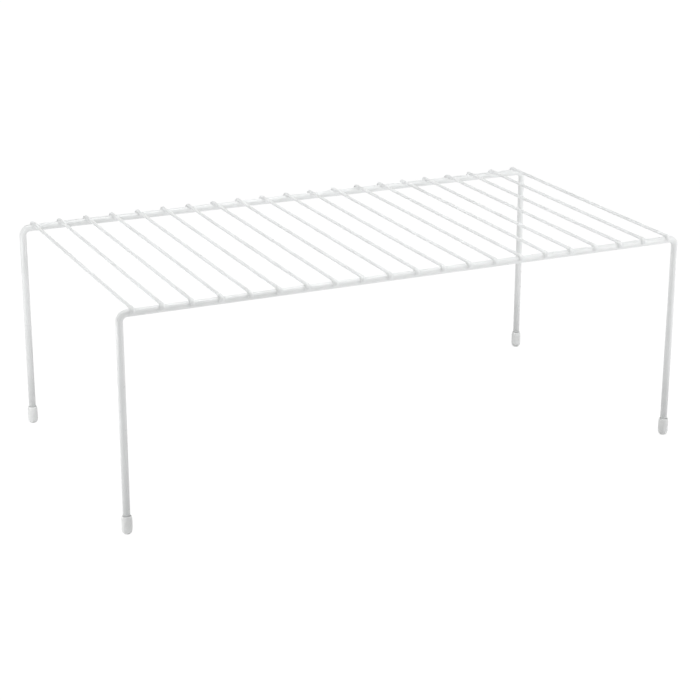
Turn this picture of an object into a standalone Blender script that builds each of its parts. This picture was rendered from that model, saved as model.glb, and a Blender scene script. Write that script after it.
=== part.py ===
"""A wire helper shelf for a cupboard or worktop, in metres with +Z up.

Two U frames of thick coated wire stand one behind the other. Thin cross wires lie
over both rails with their ends bent down beside them, and each leg stands in a
push-on foot cap. The origin is on the floor below the middle of the deck, +X runs
along the shelf and -Y is its front.
"""

import math

import bpy

# Frames: rail and two legs of one bent wire
SHELF_LENGTH = 0.4064  # over the outsides of the legs
RAIL_HEIGHT = 0.1450  # from the floor to the centre line of a rail
RAIL_SPACING = 0.2095  # between the centre lines of the two rails
FRAME_WIRE_DIAMETER = 0.0048
BEND_RADIUS = 0.0050  # at the centre line of the wire

# Cross wires
CROSS_WIRE_COUNT = 21
CROSS_WIRE_DIAMETER = 0.0023
SEAT_GAP = 0.0003  # between a cross wire and its rail, above the rail and beside it
END_WIRE_INSET = 0.0028  # from the end of a bend to the centre of the outermost wire
END_BEND_RADIUS = 0.0020  # at the centre line, where a wire's end bends down
END_TAIL = 0.0014  # straight length below that bend

# Foot caps
CAP_HEIGHT = 0.0123
CAP_WALL = 0.0008  # beside the leg, at the widest place
CAP_MOUTH_WALL = 0.0005
CAP_CLEARANCE = 0.0003  # all round the leg and under its end
CAP_BASE = 0.0021  # thickness of the closed end
CAP_SHOULDER = 0.0045  # height over which the cap narrows to its mouth
CAP_TOE = 0.0038  # height over which the cap narrows to the floor
CAP_FLAT_DIAMETER = 0.0032  # of the flat that stands on the floor

# Smoothness of the round shapes
BEND_STEPS = 8
END_BEND_STEPS = 6
SHOULDER_STEPS = 4
TOE_STEPS = 6
CAP_SIDES = 24
FRAME_WIRE_RESOLUTION = 4
CROSS_WIRE_RESOLUTION = 2
SHARP_DEGREES = 35

# Derived places
LEG_X = (SHELF_LENGTH - FRAME_WIRE_DIAMETER) / 2
BEND_X = LEG_X - BEND_RADIUS
RAIL_Y = RAIL_SPACING / 2
LEG_END_HEIGHT = CAP_BASE + CAP_CLEARANCE
OUTER_WIRE_X = BEND_X - END_WIRE_INSET
WIRE_PITCH = 2 * OUTER_WIRE_X / (CROSS_WIRE_COUNT - 1)
SEAT_RADIUS = (FRAME_WIRE_DIAMETER + CROSS_WIRE_DIAMETER) / 2 + SEAT_GAP

# Finishes
COATING_COLOUR = (0.84, 0.84, 0.835, 1)
COATING_ROUGHNESS = 0.34
CAP_COLOUR = (0.78, 0.78, 0.77, 1)
CAP_ROUGHNESS = 0.46


def clear_scene():
    for piece in list(bpy.data.objects):
        bpy.data.objects.remove(piece, do_unlink=True)


def new_collection(name):
    collection = bpy.data.collections.new(name)
    bpy.context.scene.collection.children.link(collection)
    return collection


def plain_material(name, colour, roughness):
    material = bpy.data.materials.new(name)
    material.use_nodes = True
    shader = material.node_tree.nodes["Principled BSDF"]
    shader.inputs["Base Color"].default_value = colour
    shader.inputs["Roughness"].default_value = roughness
    shader.inputs["Metallic"].default_value = 0
    return material


def arc(centre, radii, start, end, steps):
    """Points of an ellipse's arc between two angles in degrees, both ends included."""
    turn = (end - start) / steps
    angles = [math.radians(start + turn * step) for step in range(steps + 1)]
    return [
        (centre[0] + radii[0] * math.cos(angle), centre[1] + radii[1] * math.sin(angle))
        for angle in angles
    ]


def wire_curve(name, places, diameter, resolution, material):
    """A round wire with closed ends along the given places."""
    curve = bpy.data.curves.new(name, "CURVE")
    curve.dimensions = "3D"
    curve.bevel_depth = diameter / 2
    curve.bevel_resolution = resolution
    curve.use_fill_caps = True
    spline = curve.splines.new("POLY")
    spline.points.add(len(places) - 1)
    for point, place in zip(spline.points, places):
        point.co = (*place, 1)
    spline.use_smooth = True
    curve.materials.append(material)
    return curve


def frame_curve(material):
    """One U frame about the middle of its rail: leg, bend, rail, bend, leg."""
    leg_end = LEG_END_HEIGHT - RAIL_HEIGHT
    radii = (BEND_RADIUS, BEND_RADIUS)
    outline = [(-LEG_X, leg_end)]
    outline += arc((-BEND_X, -BEND_RADIUS), radii, 180, 90, BEND_STEPS)
    outline += arc((BEND_X, -BEND_RADIUS), radii, 90, 0, BEND_STEPS)
    outline += [(LEG_X, leg_end)]
    places = [(x, 0, z) for x, z in outline]
    return wire_curve("u_frame", places, FRAME_WIRE_DIAMETER, FRAME_WIRE_RESOLUTION, material)


def cross_wire_curve(material):
    """One cross wire at rail height: straight over the deck, bent down beside both rails."""
    radii = (END_BEND_RADIUS, END_BEND_RADIUS)
    bend_z = SEAT_RADIUS - END_BEND_RADIUS
    bend_y = RAIL_Y + bend_z
    tip_y, tip_z = RAIL_Y + SEAT_RADIUS, bend_z - END_TAIL
    outline = [(-tip_y, tip_z)]
    outline += arc((-bend_y, bend_z), radii, 180, 90, END_BEND_STEPS)
    outline += arc((bend_y, bend_z), radii, 90, 0, END_BEND_STEPS)
    outline += [(tip_y, tip_z)]
    places = [(0, y, z) for y, z in outline]
    return wire_curve("cross_wire", places, CROSS_WIRE_DIAMETER, CROSS_WIRE_RESOLUTION, material)


def cap_profile():
    """Half section of a foot cap as radius and height, from the bore's floor round to the flat."""
    bore = FRAME_WIRE_DIAMETER / 2 + CAP_CLEARANCE
    widest = bore + CAP_WALL
    mouth = bore + CAP_MOUTH_WALL
    flat = CAP_FLAT_DIAMETER / 2
    profile = [(0, CAP_BASE), (bore, CAP_BASE), (bore, CAP_HEIGHT)]
    profile += arc(
        (mouth, CAP_HEIGHT - CAP_SHOULDER), (widest - mouth, CAP_SHOULDER), 90, 0, SHOULDER_STEPS
    )
    profile += arc((flat, CAP_TOE), (widest - flat, CAP_TOE), 0, -90, TOE_STEPS)
    profile += [(0, 0)]
    return profile


def cap_mesh(collection, material):
    """The cap's half section turned about Z."""
    profile = cap_profile()
    outline = bpy.data.meshes.new("cap_outline")
    edges = [(start, start + 1) for start in range(len(profile) - 1)]
    outline.from_pydata([(radius, 0, height) for radius, height in profile], edges, [])
    turned = bpy.data.objects.new("cap_outline", outline)
    collection.objects.link(turned)
    screw = turned.modifiers.new("Turn", "SCREW")
    screw.axis = "Z"
    screw.angle = math.tau
    screw.steps = CAP_SIDES
    screw.render_steps = CAP_SIDES
    screw.use_merge_vertices = True
    screw.merge_threshold = 0.000001
    bpy.context.view_layer.update()
    evaluated = turned.evaluated_get(bpy.context.evaluated_depsgraph_get())
    mesh = bpy.data.meshes.new_from_object(evaluated)
    mesh.name = "foot_cap"
    mesh.materials.clear()
    mesh.materials.append(material)
    mesh.shade_smooth()
    mesh.set_sharp_from_angle(angle=math.radians(SHARP_DEGREES))
    bpy.data.objects.remove(turned, do_unlink=True)
    return mesh


def place(name, data, location, parent, collection):
    piece = bpy.data.objects.new(name, data)
    piece.location = location
    piece.parent = parent
    collection.objects.link(piece)
    return piece


def add_frames(parent, collection):
    curve = frame_curve(plain_material("frame_coating", COATING_COLOUR, COATING_ROUGHNESS))
    place("front_frame", curve, (0, -RAIL_Y, RAIL_HEIGHT), parent, collection)
    place("rear_frame", curve, (0, RAIL_Y, RAIL_HEIGHT), parent, collection)


def add_cross_wires(parent, collection):
    curve = cross_wire_curve(
        plain_material("cross_wire_coating", COATING_COLOUR, COATING_ROUGHNESS)
    )
    for number in range(CROSS_WIRE_COUNT):
        x = number * WIRE_PITCH - OUTER_WIRE_X
        place(f"cross_wire_{number + 1:02d}", curve, (x, 0, RAIL_HEIGHT), parent, collection)


def add_foot_caps(parent, collection):
    mesh = cap_mesh(collection, plain_material("foot_cap_vinyl", CAP_COLOUR, CAP_ROUGHNESS))
    for row, y in (("front", -RAIL_Y), ("rear", RAIL_Y)):
        for side, x in (("left", -LEG_X), ("right", LEG_X)):
            place(f"foot_cap_{row}_{side}", mesh, (x, y, 0), parent, collection)


def main():
    clear_scene()
    collection = new_collection("helper_shelf")
    shelf = place("shelf_origin", None, (0, 0, 0), None, collection)
    add_frames(shelf, collection)
    add_cross_wires(shelf, collection)
    add_foot_caps(shelf, collection)


main()
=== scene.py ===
"""The wire helper shelf as it looks, in metres with +Z up.

Coated wires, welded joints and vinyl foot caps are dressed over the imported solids,
and the shelf stands on white paper under soft lamps.
"""

import math
import random

import bmesh
import bpy
from mathutils import Matrix, Vector


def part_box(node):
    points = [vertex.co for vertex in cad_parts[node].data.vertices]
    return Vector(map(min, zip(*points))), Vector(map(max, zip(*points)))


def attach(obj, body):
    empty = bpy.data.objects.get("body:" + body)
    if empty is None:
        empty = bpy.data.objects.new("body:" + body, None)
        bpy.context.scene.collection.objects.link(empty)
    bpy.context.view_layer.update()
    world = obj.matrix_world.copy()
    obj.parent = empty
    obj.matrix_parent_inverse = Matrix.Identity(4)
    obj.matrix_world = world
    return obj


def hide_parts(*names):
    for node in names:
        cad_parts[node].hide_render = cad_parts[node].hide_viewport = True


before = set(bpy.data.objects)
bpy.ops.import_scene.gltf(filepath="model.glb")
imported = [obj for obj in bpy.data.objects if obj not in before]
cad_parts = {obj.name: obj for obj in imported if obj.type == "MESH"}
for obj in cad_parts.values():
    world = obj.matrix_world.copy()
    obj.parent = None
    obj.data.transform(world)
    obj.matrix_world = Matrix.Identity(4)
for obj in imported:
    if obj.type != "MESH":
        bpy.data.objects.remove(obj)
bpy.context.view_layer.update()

QUARTER_TURN = math.pi / 2
MERGE_DISTANCE = 0.000001  # below which two points of a mesh are made one

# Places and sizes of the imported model
FRAME_LOW, FRAME_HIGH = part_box("front_frame")
WIRE_LOW, WIRE_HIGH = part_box("cross_wire_01")
CAP_LOW, CAP_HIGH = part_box("foot_cap_front_left")
FRAME_RADIUS = (FRAME_HIGH[1] - FRAME_LOW[1]) / 2
WIRE_RADIUS = (WIRE_HIGH[0] - WIRE_LOW[0]) / 2
LEG_X = FRAME_HIGH[0] - FRAME_RADIUS
RAIL_Y = -(FRAME_LOW[1] + FRAME_HIGH[1]) / 2
RAIL_HEIGHT = FRAME_HIGH[2] - FRAME_RADIUS
LEG_END_HEIGHT = FRAME_LOW[2]
CAP_RADIUS = (CAP_HIGH[0] - CAP_LOW[0]) / 2
CAP_HEIGHT = CAP_HIGH[2]
WIRE_NODES = sorted(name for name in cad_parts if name.startswith("cross_wire_"))
CAP_NODES = sorted(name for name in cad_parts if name.startswith("foot_cap_"))

# Frames
BEND_RADIUS = 0.0050
FRAME_SIDES = 40
BEND_STEPS = 20

# Cross wires
WELD_DEPTH = 0.0005  # how far a wire is pressed into its rail
WIRE_SIDES = 28
WIRE_RUNS = 28  # straight lengths from rail to rail
WIRE_THICKNESS_WANDER = 0.035  # share of its thickness that the coating varies by
WIRE_BOW = 0.0003  # how far the middle of a wire may stray sideways
WIRE_AXIS = FRAME_RADIUS + WIRE_RADIUS - WELD_DEPTH  # height over the rail's centre line
WIRE_SEED = 7

# Coating drawn into the corners of a weld
WELD_STUB = 0.0080  # length of rail that the coating is shaped on
WELD_REACH = 0.0050  # length of wire that it is shaped on
WELD_RUNS = 10
WELD_VOXEL = 0.00016
WELD_FLOW = 0.5  # share of the way to its neighbours that each smoothing pass moves a point
WELD_SMOOTHING = 30  # passes
WELD_TUCK = 0.00004  # how far under the bare wires the coating ends
END_THICKENING = 1.08  # of the coated end against the bare wire
END_SPREAD = 1.30  # how much wider than it is thick the pressed end is
END_BEND_RADIUS = 0.0020
END_BEND_STEPS = 14
END_TAIL = 0.0004  # straight length below the bend
END_ROUNDING = 0.0006
ROUNDING_STEPS = 6

# Foot caps
CAP_SIDES = 48
CAP_FLOOR = 0.0021  # thickness below the leg
CAP_BORE_GAP = 0.00004
CAP_MOUTH_WALL = 0.0007
CAP_LIP = 0.0003
CAP_SHOULDER = 0.0045
CAP_TOE = 0.0038
CAP_FLAT_RADIUS = 0.0016
LIP_STEPS = 6
SHOULDER_STEPS = 8
TOE_STEPS = 10

# Coating, with each noise as its scale and its detail
VINYL_IOR = 1.5
GLOSS_SPAN = (0.3, 0.7)  # noise levels that a roughness is spread over
COATING_TONES = (
    (0.30, (0.788, 0.800, 0.795)),
    (0.50, (0.833, 0.846, 0.844)),
    (0.72, (0.857, 0.868, 0.867)),
)
COATING_TONE_NOISE = (34, 3)
COATING_GLOSS_NOISE = (260, 3)
COATING_ROUGHNESS = (0.27, 0.40)
WAVE_NOISE = (150, 2)
WAVE_HEIGHT = 0.00016
PEEL_NOISE = (1300, 3)
PEEL_HEIGHT = 0.000016

# Cap vinyl
CAP_TONES = ((0.3, (0.722, 0.730, 0.724)), (0.7, (0.812, 0.821, 0.817)))
CAP_TONE_NOISE = (220, 3)
CAP_GLOSS_NOISE = (420, 3)
CAP_ROUGHNESS = (0.36, 0.52)
CAP_SKIN_NOISE = (900, 4)
CAP_SKIN_HEIGHT = 0.00004
# Grey patches on the caps, denser and darker towards the floor
LOW_PATCH_GREY = (0.27, 0.28, 0.27)
PATCH_FADE_HEIGHT = 0.0032  # above the floor, where the last grey patches fade out
LOW_PATCH_NOISE = (380, 3)
LOW_PATCH_LEVELS = (0.50, 0.66)  # noise levels between which a patch sets in

# Camera and stage
CAMERA_PLACE = (-0.5340, -1.1367, 0.5001)
CAMERA_HEADING = math.radians(-25.285)
CAMERA_DOWN = math.radians(19.337)
CAMERA_ROLL = math.radians(0.24)
CAMERA_LENS = 96.56
CAMERA_SENSOR = 36
CAMERA_CLIPS = (0.05, 100)
FLOOR_SIZE = 40
FLOOR_DROP = 0.0002
FLOOR_PAPER = 0.10
FLOOR_ROUGHNESS = 0.9
FLOOR_GLOW = (0.905, 0.985)  # near the shelf and far from it
FLOOR_GLOW_REACH = (0.1, 2.2)  # distances from the middle that belong to them
FLOOR_BOUNCE_REACH = 0.35  # from the middle to where the light off the paper stops changing
FLOOR_BOUNCE = (0.41, 0.75, 0.98, 0.64, 1.20)  # its levels from left to right
ROOM_FILL = 0.01
LAMP_AIM = (0, 0, 0.10)
LAMP_AIM_RIGHT = (0.1, 0, 0.10)
CARD_HEIGHT = 0.045
CARD_DISTANCE = 0.42  # of each side card from the middle
CARD_SIZE = (0.40, 0.08)
LAMPS = (  # name, place, aim, width and height, watts
    ("top_panel", (0, 0, 1.1), LAMP_AIM, (1.2, 1.0), 6.1),
    ("near_top_box", (0, 0, 0.50), (0, 0, 0), (0.25, 0.25), 0.41),
    ("near_front_box", (0.05, -0.45, 0.45), LAMP_AIM, (0.25, 0.25), 0.11),
    ("front_left_box", (-0.75, -0.75, 0.45), LAMP_AIM, (0.5, 0.5), 2.10),
    ("front_right_box", (0.65, -0.65, 0.35), LAMP_AIM_RIGHT, (0.5, 0.5), 2.95),
    ("high_left_box", (-0.7, 0.1, 0.55), LAMP_AIM, (0.4, 0.4), 1.0),
    ("high_right_box", (0.7, 0.1, 0.55), LAMP_AIM, (0.4, 0.4), 0.08),
    ("back_panel", (0, 0.9, 0.45), LAMP_AIM, (1.4, 0.6), 0.30),
    ("left_card", (-CARD_DISTANCE, 0, CARD_HEIGHT), (0, 0, CARD_HEIGHT), CARD_SIZE, 0.385),
    ("right_card", (CARD_DISTANCE, 0, CARD_HEIGHT), (0, 0, CARD_HEIGHT), CARD_SIZE, 0.125),
)


def new_object(bm, name):
    """A finished bmesh as an object in the scene."""
    mesh = bpy.data.meshes.new(name)
    bm.to_mesh(mesh)
    bm.free()
    made = bpy.data.objects.new(name, mesh)
    bpy.context.scene.collection.objects.link(made)
    return made


def add_piece(bm, name, material, nodes):
    """A piece that rides on the shelf and stands for its nodes."""
    piece = new_object(bm, name)
    piece.data.shade_smooth()
    piece.data.materials.append(material)
    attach(piece, "root")
    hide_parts(*nodes)


def mesh_after_modifiers(piece):
    evaluated = piece.evaluated_get(bpy.context.evaluated_depsgraph_get())
    return bpy.data.meshes.new_from_object(evaluated)


# Wire shapes

def verts_of(geometry):
    return [part for part in geometry if isinstance(part, bmesh.types.BMVert)]


def rim_of(geometry):
    """The edges between the vertices of a new rim."""
    rim = set(verts_of(geometry))
    edges = [part for part in geometry if isinstance(part, bmesh.types.BMEdge)]
    return [edge for edge in edges if rim.issuperset(edge.verts)]


def open_rim(bm, radius, sides, matrix):
    made = bmesh.ops.create_circle(bm, segments=sides, radius=radius, matrix=matrix)
    rim = set(made["verts"])
    return [edge for edge in bm.edges if rim.issuperset(edge.verts)]


def run_on(bm, rim, step, scale=1.0, spread=1.0):
    """Carries an open rim on by a step, scaled about its own middle and spread along X."""
    made = bmesh.ops.extrude_edge_only(bm, edges=rim)["geom"]
    verts = verts_of(made)
    middle = sum((vert.co for vert in verts), Vector()) / len(verts)
    size = (scale * spread, scale, scale)
    bmesh.ops.scale(bm, verts=verts, vec=size, space=Matrix.Translation(-middle))
    bmesh.ops.translate(bm, verts=verts, vec=step)
    return rim_of(made)


def turn_on(bm, rim, centre, axis, angle, steps):
    """Carries an open rim round a bend."""
    made = bmesh.ops.spin(bm, geom=rim, cent=centre, axis=axis, angle=angle, steps=steps)
    return rim_of(made["geom_last"])


def close_rounded(bm, rim, direction, radius, rounding):
    """Closes a wire's end with a rounded rim and a flat middle."""
    for step in range(ROUNDING_STEPS):
        before = QUARTER_TURN * step / ROUNDING_STEPS
        after = QUARTER_TURN * (step + 1) / ROUNDING_STEPS
        advance = rounding * (math.sin(after) - math.sin(before))
        width_before = radius - rounding * (1 - math.cos(before))
        width_after = radius - rounding * (1 - math.cos(after))
        rim = run_on(bm, rim, direction * advance, width_after / width_before)
    bmesh.ops.edgeloop_fill(bm, edges=rim)


def tidy_shell(bm):
    bmesh.ops.remove_doubles(bm, verts=bm.verts, dist=MERGE_DISTANCE)
    bmesh.ops.recalc_face_normals(bm, faces=bm.faces)


def frame_shape(y):
    """One bent wire: leg, bend, rail, bend, leg."""
    bm = bmesh.new()
    start = Matrix.Translation((-LEG_X, y, LEG_END_HEIGHT))
    rim = open_rim(bm, FRAME_RADIUS, FRAME_SIDES, start)
    bmesh.ops.edgeloop_fill(bm, edges=rim)
    bend_x = LEG_X - BEND_RADIUS
    bend_z = RAIL_HEIGHT - BEND_RADIUS
    leg = Vector((0, 0, bend_z - LEG_END_HEIGHT))
    rail = Vector((2 * bend_x, 0, 0))
    rim = run_on(bm, rim, leg)
    rim = turn_on(bm, rim, (-bend_x, y, bend_z), (0, 1, 0), QUARTER_TURN, BEND_STEPS)
    rim = run_on(bm, rim, rail)
    rim = turn_on(bm, rim, (bend_x, y, bend_z), (0, 1, 0), QUARTER_TURN, BEND_STEPS)
    rim = run_on(bm, rim, -leg)
    bmesh.ops.edgeloop_fill(bm, edges=rim)
    tidy_shell(bm)
    return bm


def wire_matrix(y):
    place = Matrix.Translation((0, y, RAIL_HEIGHT + WIRE_AXIS))
    return place @ Matrix.Rotation(QUARTER_TURN, 4, "X")


def wire_shape(chance):
    """The straight part of a cross wire at x = 0, from rail to rail, a little uneven."""
    bm = bmesh.new()
    rim = open_rim(bm, WIRE_RADIUS, WIRE_SIDES, wire_matrix(-RAIL_Y))
    bmesh.ops.edgeloop_fill(bm, edges=rim)
    bow = chance.uniform(-WIRE_BOW, WIRE_BOW)
    lift = chance.uniform(-WIRE_BOW, WIRE_BOW)
    before, stray_before = 1, 0
    for run in range(WIRE_RUNS):
        share = (run + 1) / WIRE_RUNS
        stray = math.sin(math.pi * share)
        after = 1 + chance.uniform(-1, 1) * WIRE_THICKNESS_WANDER * stray
        aside = stray - stray_before
        step = Vector((bow * aside, 2 * RAIL_Y / WIRE_RUNS, lift * aside))
        rim = run_on(bm, rim, step, after / before)
        before, stray_before = after, stray
    bmesh.ops.edgeloop_fill(bm, edges=rim)
    tidy_shell(bm)
    return bm


def weld_block():
    """A stub of rail and the wire's end as two closed shells, for the coating to be drawn over."""
    bm = bmesh.new()
    place = Matrix.Translation((0, RAIL_Y, RAIL_HEIGHT))
    stub = FRAME_RADIUS - WELD_TUCK
    bmesh.ops.create_cone(
        bm,
        cap_ends=True,
        segments=FRAME_SIDES,
        radius1=stub,
        radius2=stub,
        depth=WELD_STUB,
        matrix=place @ Matrix.Rotation(QUARTER_TURN, 4, "Y"),
    )
    start = WIRE_RADIUS - WELD_TUCK
    thick = WIRE_RADIUS * END_THICKENING
    rim = open_rim(bm, start, WIRE_SIDES, wire_matrix(RAIL_Y - WELD_REACH))
    bmesh.ops.edgeloop_fill(bm, edges=rim)
    run = Vector((0, WELD_REACH / WELD_RUNS, 0))
    grow = (thick / start) ** (1 / WELD_RUNS)
    spread = END_SPREAD ** (1 / WELD_RUNS)
    for _ in range(WELD_RUNS):
        rim = run_on(bm, rim, run, grow, spread)
    past = WIRE_AXIS - END_BEND_RADIUS
    rim = run_on(bm, rim, Vector((0, past, 0)))
    centre = (0, RAIL_Y + past, RAIL_HEIGHT + past)
    rim = turn_on(bm, rim, centre, (1, 0, 0), -QUARTER_TURN, END_BEND_STEPS)
    down = Vector((0, 0, -1))
    rim = run_on(bm, rim, down * END_TAIL)
    close_rounded(bm, rim, down, thick, END_ROUNDING)
    bmesh.ops.recalc_face_normals(bm, faces=bm.faces)
    return bm


def weld_coating():
    """The coated joint of a wire's rear end, just under the bare wires where it ends."""
    block = new_object(weld_block(), "weld_coating")
    remesh = block.modifiers.new("Skin", "REMESH")
    remesh.mode = "VOXEL"
    remesh.voxel_size = WELD_VOXEL
    smooth = block.modifiers.new("Flow", "SMOOTH")
    smooth.factor = WELD_FLOW
    smooth.iterations = WELD_SMOOTHING
    skin = mesh_after_modifiers(block)
    bpy.data.objects.remove(block, do_unlink=True)
    return skin


# Finishes

def new_material(name):
    material = bpy.data.materials.new(name)
    material.use_nodes = True
    nodes = material.node_tree.nodes
    return material, nodes, material.node_tree.links, nodes["Principled BSDF"]


def noise_node(nodes, links, coordinates, scale_and_detail):
    texture = nodes.new("ShaderNodeTexNoise")
    texture.inputs["Scale"].default_value = scale_and_detail[0]
    texture.inputs["Detail"].default_value = scale_and_detail[1]
    links.new(coordinates, texture.inputs["Vector"])
    return texture.outputs["Fac"]


def ramp_node(nodes, links, value, stops):
    """A colour ramp through (position, colour) stops."""
    ramp = nodes.new("ShaderNodeValToRGB")
    ramp.color_ramp.elements[0].position = stops[0][0]
    ramp.color_ramp.elements[0].color = (*stops[0][1], 1)
    ramp.color_ramp.elements[1].position = stops[-1][0]
    ramp.color_ramp.elements[1].color = (*stops[-1][1], 1)
    for position, colour in stops[1:-1]:
        ramp.color_ramp.elements.new(position).color = (*colour, 1)
    links.new(value, ramp.inputs["Fac"])
    return ramp.outputs["Color"]


def range_node(nodes, links, value, span, levels):
    """Spreads a value's span from low to high over a pair of levels."""
    node = nodes.new("ShaderNodeMapRange")
    node.inputs["From Min"].default_value = span[0]
    node.inputs["From Max"].default_value = span[1]
    node.inputs["To Min"].default_value = levels[0]
    node.inputs["To Max"].default_value = levels[1]
    links.new(value, node.inputs["Value"])
    return node.outputs["Result"]


def bump_node(nodes, links, height, distance, normal=None):
    node = nodes.new("ShaderNodeBump")
    node.inputs["Strength"].default_value = 1
    node.inputs["Distance"].default_value = distance
    links.new(height, node.inputs["Height"])
    if normal is not None:
        links.new(normal, node.inputs["Normal"])
    return node.outputs["Normal"]


def coating_material(name):
    """Nearly even white vinyl over wire, with slow waves of thickness and a fine orange peel."""
    material, nodes, links, shader = new_material(name)
    place = nodes.new("ShaderNodeTexCoord").outputs["Object"]
    tone = noise_node(nodes, links, place, COATING_TONE_NOISE)
    links.new(ramp_node(nodes, links, tone, COATING_TONES), shader.inputs["Base Color"])
    gloss = noise_node(nodes, links, place, COATING_GLOSS_NOISE)
    roughness = range_node(nodes, links, gloss, GLOSS_SPAN, COATING_ROUGHNESS)
    links.new(roughness, shader.inputs["Roughness"])
    waves = noise_node(nodes, links, place, WAVE_NOISE)
    peel = noise_node(nodes, links, place, PEEL_NOISE)
    normal = bump_node(nodes, links, waves, WAVE_HEIGHT)
    normal = bump_node(nodes, links, peel, PEEL_HEIGHT, normal)
    links.new(normal, shader.inputs["Normal"])
    shader.inputs["IOR"].default_value = VINYL_IOR
    return material


def with_low_grey_patches(nodes, links, place, colour):
    """The colour with grey patches that thin out with the height above the floor."""
    height = nodes.new("ShaderNodeSeparateXYZ")
    links.new(place, height.inputs[0])
    low = range_node(nodes, links, height.outputs["Z"], (0, PATCH_FADE_HEIGHT), (1, 0))
    noise = noise_node(nodes, links, place, LOW_PATCH_NOISE)
    patches = range_node(nodes, links, noise, LOW_PATCH_LEVELS, (0, 1))
    low_patches = nodes.new("ShaderNodeMath")
    low_patches.operation = "MULTIPLY"
    links.new(low, low_patches.inputs[0])
    links.new(patches, low_patches.inputs[1])
    patched_colour = nodes.new("ShaderNodeMix")
    patched_colour.data_type = "RGBA"
    links.new(low_patches.outputs[0], patched_colour.inputs["Factor"])
    links.new(colour, patched_colour.inputs["A"])
    patched_colour.inputs["B"].default_value = (*LOW_PATCH_GREY, 1)
    return patched_colour.outputs["Result"]


def cap_material(name):
    """Soft white vinyl, duller than the coating, with grey patches that grow denser towards the
    floor.
    """
    material, nodes, links, shader = new_material(name)
    place = nodes.new("ShaderNodeTexCoord").outputs["Object"]
    tone = noise_node(nodes, links, place, CAP_TONE_NOISE)
    colour = ramp_node(nodes, links, tone, CAP_TONES)
    # the cap colour gets grey patches that thicken towards the floor
    links.new(with_low_grey_patches(nodes, links, place, colour), shader.inputs["Base Color"])
    gloss = noise_node(nodes, links, place, CAP_GLOSS_NOISE)
    roughness = range_node(nodes, links, gloss, GLOSS_SPAN, CAP_ROUGHNESS)
    links.new(roughness, shader.inputs["Roughness"])
    skin = noise_node(nodes, links, place, CAP_SKIN_NOISE)
    links.new(bump_node(nodes, links, skin, CAP_SKIN_HEIGHT), shader.inputs["Normal"])
    shader.inputs["IOR"].default_value = VINYL_IOR
    return material


# Pieces

def add_frames(material):
    for name, y in (("front_frame", -RAIL_Y), ("rear_frame", RAIL_Y)):
        add_piece(frame_shape(y), f"{name}_wire", material, [name])


def add_cross_wires(material):
    skin = weld_coating()
    chance = random.Random(WIRE_SEED)
    for name in WIRE_NODES:
        low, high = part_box(name)
        x = (low[0] + high[0]) / 2
        bm = wire_shape(chance)
        for turn in (0, math.pi):
            first = len(bm.verts)
            bm.from_mesh(skin)
            bm.verts.ensure_lookup_table()
            added = bm.verts[first:]
            bmesh.ops.rotate(bm, verts=added, matrix=Matrix.Rotation(turn, 3, "Z"))
        bmesh.ops.translate(bm, verts=bm.verts, vec=(x, 0, 0))
        add_piece(bm, f"{name}_coated", material, [name])


def quarter_arcs(radius, height, wide, high, start, end, steps):
    """Points of an ellipse's arc between two angles, given in quarter turns."""
    turns = [start + (end - start) * step / steps for step in range(steps + 1)]
    angles = [QUARTER_TURN * turn for turn in turns]
    return [(radius + wide * math.cos(angle), height + high * math.sin(angle)) for angle in angles]


def cap_profile():
    """Half section of a cap as radius and height, from the bore's floor round to the flat."""
    bore = FRAME_RADIUS + CAP_BORE_GAP
    mouth = FRAME_RADIUS + CAP_MOUTH_WALL
    lip_z = CAP_HEIGHT - CAP_LIP
    shoulder_z = CAP_HEIGHT - CAP_SHOULDER
    rise = CAP_SHOULDER - CAP_LIP
    points = [(0, CAP_FLOOR), (bore, CAP_FLOOR), (bore, lip_z)]
    points += quarter_arcs(bore + CAP_LIP, lip_z, CAP_LIP, CAP_LIP, 2, 0, LIP_STEPS)[1:]
    points += quarter_arcs(mouth, shoulder_z, CAP_RADIUS - mouth, rise, 1, 0, SHOULDER_STEPS)[1:]
    toe = CAP_RADIUS - CAP_FLAT_RADIUS
    points += quarter_arcs(CAP_FLAT_RADIUS, CAP_TOE, toe, CAP_TOE, 0, -1, TOE_STEPS)
    points.append((0, 0))
    return points


def cap_shape(x, y):
    bm = bmesh.new()
    verts = [bm.verts.new((radius, 0, height)) for radius, height in cap_profile()]
    edges = [bm.edges.new(pair) for pair in zip(verts, verts[1:])]
    bmesh.ops.spin(
        bm,
        geom=verts + edges,
        cent=(0, 0, 0),
        axis=(0, 0, 1),
        angle=math.tau,
        steps=CAP_SIDES,
        use_merge=True,
    )
    bmesh.ops.translate(bm, verts=bm.verts, vec=(x, y, 0))
    tidy_shell(bm)
    return bm


def add_caps(material):
    for name in CAP_NODES:
        low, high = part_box(name)
        bm = cap_shape((low[0] + high[0]) / 2, (low[1] + high[1]) / 2)
        add_piece(bm, f"{name}_vinyl", material, [name])


# Stage

def direct_ray(nodes, links):
    """1 where the eye, a mirror image or a ray through glass meets the surface, else 0."""
    rays = nodes.new("ShaderNodeLightPath")
    value = rays.outputs["Is Camera Ray"]
    for name in ("Is Glossy Ray", "Is Transmission Ray"):
        either = nodes.new("ShaderNodeMath")
        either.operation = "MAXIMUM"
        links.new(value, either.inputs[0])
        links.new(rays.outputs[name], either.inputs[1])
        value = either.outputs[0]
    return value


def paper_glow(nodes, links, place):
    """The light that the eye sees on the paper besides the lamps': even white round the shelf."""
    distance = nodes.new("ShaderNodeVectorMath")
    distance.operation = "LENGTH"
    links.new(place, distance.inputs[0])
    level = range_node(nodes, links, distance.outputs["Value"], FLOOR_GLOW_REACH, FLOOR_GLOW)
    glow = nodes.new("ShaderNodeEmission")
    links.new(level, glow.inputs["Strength"])
    return glow


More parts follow.
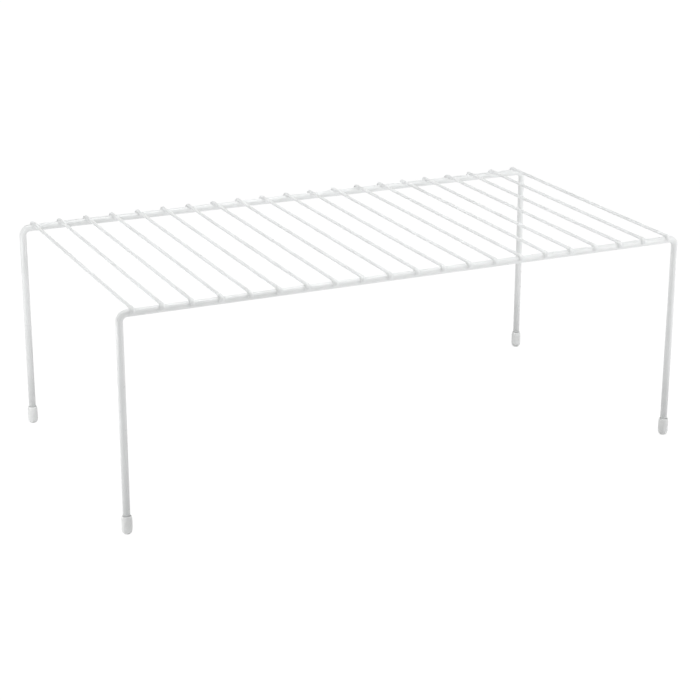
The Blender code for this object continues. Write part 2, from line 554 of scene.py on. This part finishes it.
def paper_bounce(nodes, links, place):
    """The light that the paper throws on the shelf, with its own level for each stretch of X."""
    across = nodes.new("ShaderNodeSeparateXYZ")
    links.new(place, across.inputs[0])
    span = (-FLOOR_BOUNCE_REACH, FLOOR_BOUNCE_REACH)
    along = range_node(nodes, links, across.outputs["X"], span, (0, 1))
    last = len(FLOOR_BOUNCE) - 1
    stops = [(number / last, (level, level, level)) for number, level in enumerate(FLOOR_BOUNCE)]
    bounce = nodes.new("ShaderNodeEmission")
    links.new(ramp_node(nodes, links, along, stops), bounce.inputs["Strength"])
    return bounce


def paper_material(name):
    """White paper: its glow and its shade towards the eye, its bounce towards the shelf."""
    material, nodes, links, paper = new_material(name)
    paper.inputs["Base Color"].default_value = (FLOOR_PAPER, FLOOR_PAPER, FLOOR_PAPER, 1)
    paper.inputs["Roughness"].default_value = FLOOR_ROUGHNESS
    place = nodes.new("ShaderNodeTexCoord").outputs["Object"]
    shown = nodes.new("ShaderNodeAddShader")
    links.new(paper.outputs[0], shown.inputs[0])
    links.new(paper_glow(nodes, links, place).outputs[0], shown.inputs[1])
    mix = nodes.new("ShaderNodeMixShader")
    links.new(direct_ray(nodes, links), mix.inputs["Fac"])
    links.new(paper_bounce(nodes, links, place).outputs[0], mix.inputs[1])
    links.new(shown.outputs[0], mix.inputs[2])
    links.new(mix.outputs[0], nodes["Material Output"].inputs["Surface"])
    return material


def add_floor():
    bm = bmesh.new()
    bmesh.ops.create_grid(bm, x_segments=1, y_segments=1, size=FLOOR_SIZE / 2)
    bmesh.ops.translate(bm, verts=bm.verts, vec=(0, 0, -FLOOR_DROP))
    floor = new_object(bm, "floor")
    floor.data.materials.append(paper_material("white_paper"))


def add_world():
    world = bpy.data.worlds.new("white_room")
    bpy.context.scene.world = world
    world.use_nodes = True
    nodes, links = world.node_tree.nodes, world.node_tree.links
    fill = nodes["Background"]
    fill.inputs["Color"].default_value = (1, 1, 1, 1)
    fill.inputs["Strength"].default_value = ROOM_FILL
    white = nodes.new("ShaderNodeBackground")
    white.inputs["Color"].default_value = (1, 1, 1, 1)
    white.inputs["Strength"].default_value = 1
    mix = nodes.new("ShaderNodeMixShader")
    links.new(direct_ray(nodes, links), mix.inputs["Fac"])
    links.new(fill.outputs[0], mix.inputs[1])
    links.new(white.outputs[0], mix.inputs[2])
    links.new(mix.outputs[0], nodes["World Output"].inputs["Surface"])


def add_lamp(name, place, aim, size, power):
    lamp = bpy.data.lights.new(name, "AREA")
    lamp.shape = "RECTANGLE"
    lamp.size, lamp.size_y = size
    lamp.energy = power
    holder = bpy.data.objects.new(name, lamp)
    holder.location = place
    holder.rotation_euler = (Vector(aim) - Vector(place)).to_track_quat("-Z", "Y").to_euler()
    holder.visible_camera = False
    bpy.context.scene.collection.objects.link(holder)


def add_camera():
    data = bpy.data.cameras.new("camera")
    data.lens = CAMERA_LENS
    data.sensor_width = CAMERA_SENSOR
    data.clip_start, data.clip_end = CAMERA_CLIPS
    camera = bpy.data.objects.new("camera", data)
    turn = Matrix.Rotation(CAMERA_HEADING, 4, "Z")
    tilt = Matrix.Rotation(QUARTER_TURN - CAMERA_DOWN, 4, "X")
    roll = Matrix.Rotation(CAMERA_ROLL, 4, "Z")
    camera.matrix_world = Matrix.Translation(CAMERA_PLACE) @ turn @ tilt @ roll
    bpy.context.scene.collection.objects.link(camera)
    bpy.context.scene.camera = camera


def main():
    bpy.context.scene.view_settings.view_transform = "Standard"
    coating = coating_material("white_coating")
    add_frames(coating)
    add_cross_wires(coating)
    add_caps(cap_material("white_vinyl_cap"))
    add_floor()
    add_world()
    for lamp in LAMPS:
        add_lamp(*lamp)
    add_camera()


main()
